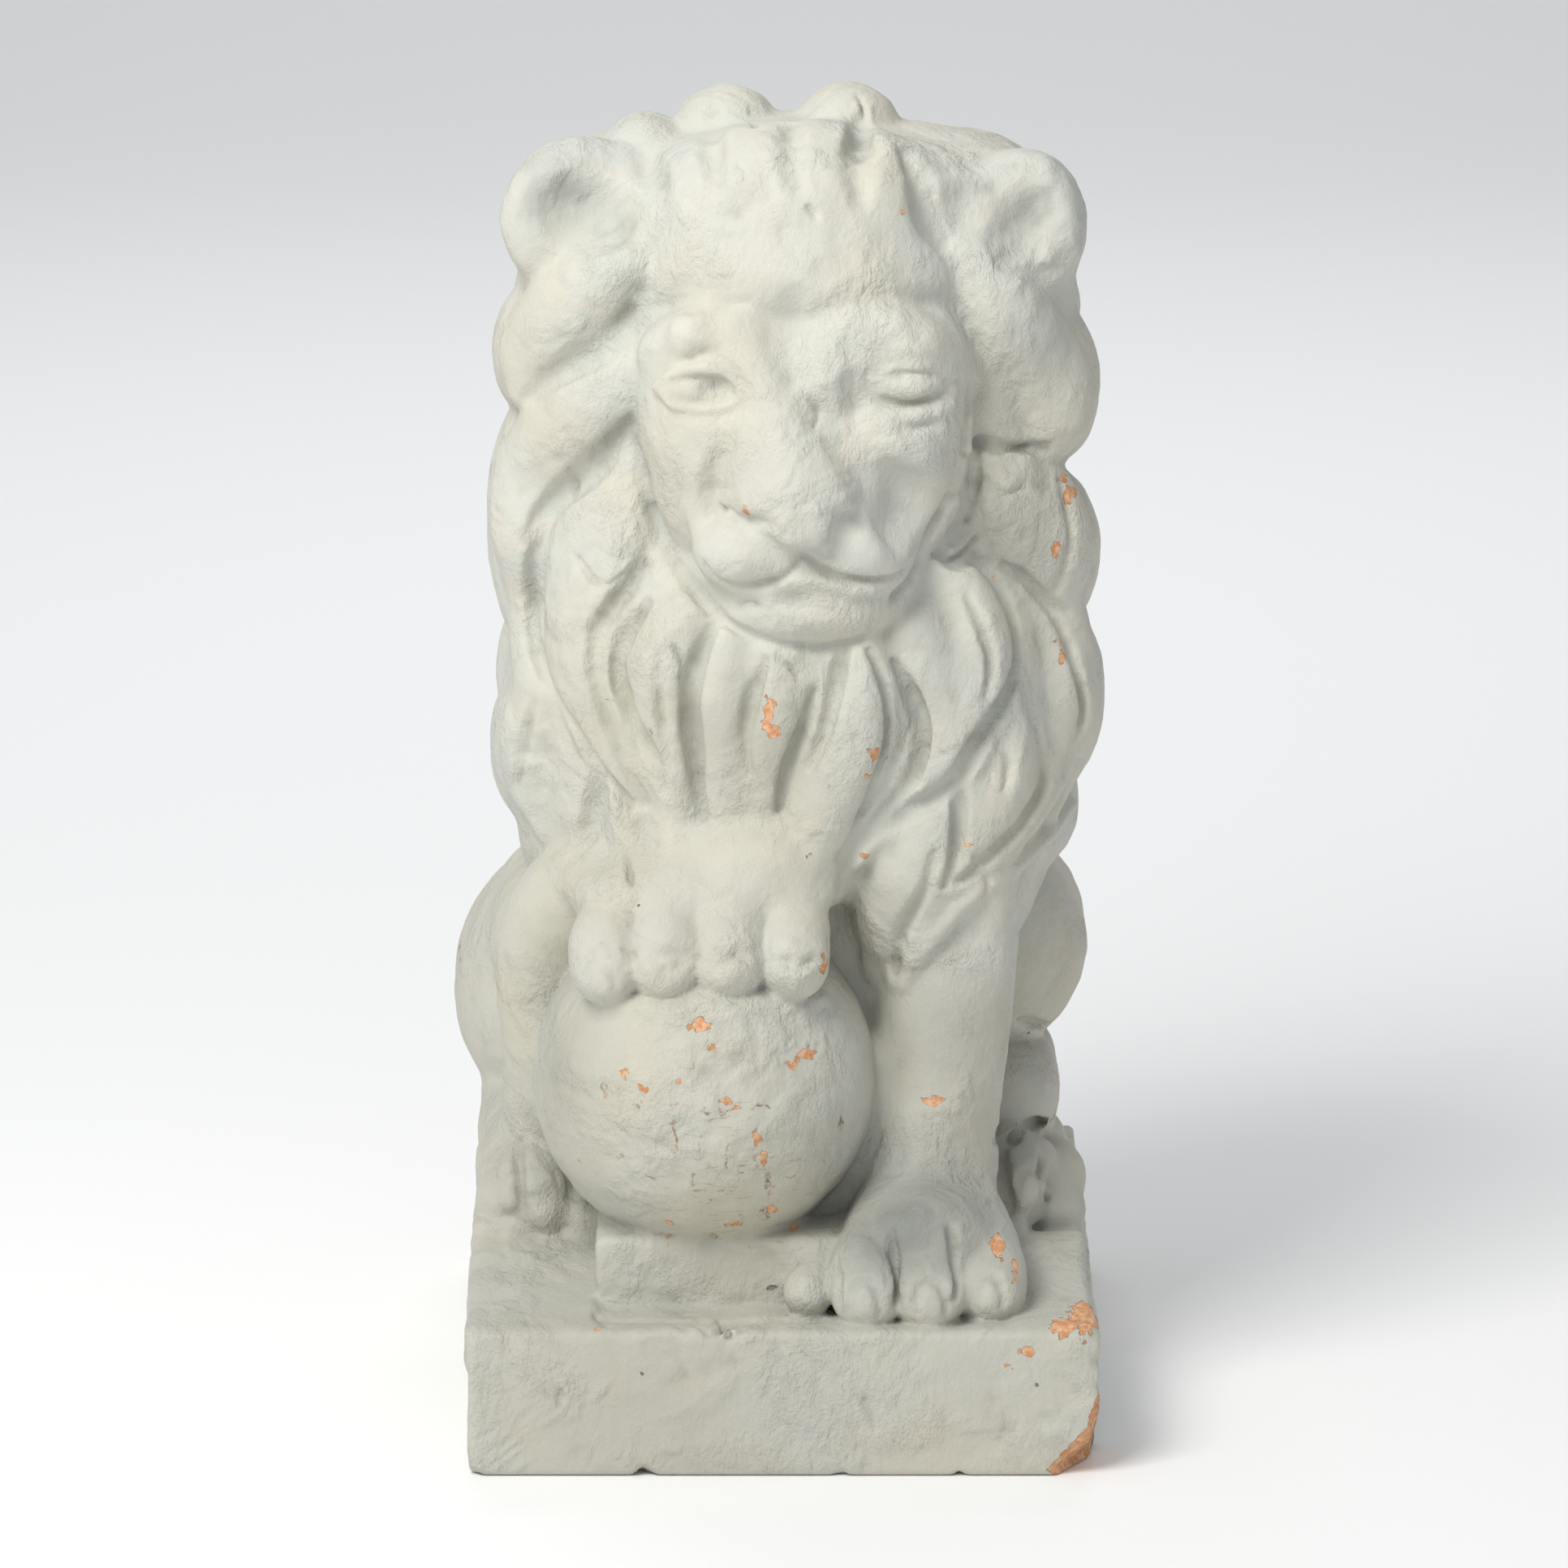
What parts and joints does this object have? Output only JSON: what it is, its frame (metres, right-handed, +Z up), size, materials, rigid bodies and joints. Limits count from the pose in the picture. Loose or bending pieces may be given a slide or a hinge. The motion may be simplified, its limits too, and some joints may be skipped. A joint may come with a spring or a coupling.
{
  "type": "garden lion statue",
  "caption": "Painted terracotta lion, seated on its own plinth with one forepaw resting on a ball.",
  "frame": {"origin": "centre of the flat underside of the plinth", "axes": "+Z up, X across the front with +X on the right of someone facing the lion, +Y from the front towards the back"},
  "size_m": [0.3422, 0.4123, 0.6864],
  "materials": {
    "painted_terracotta": "matt pale grey-white brushed paint, chipped to orange terracotta"
  },
  "bodies": {
    "root": {"lion_statue": "painted_terracotta"}
  },
  "joints": []
}
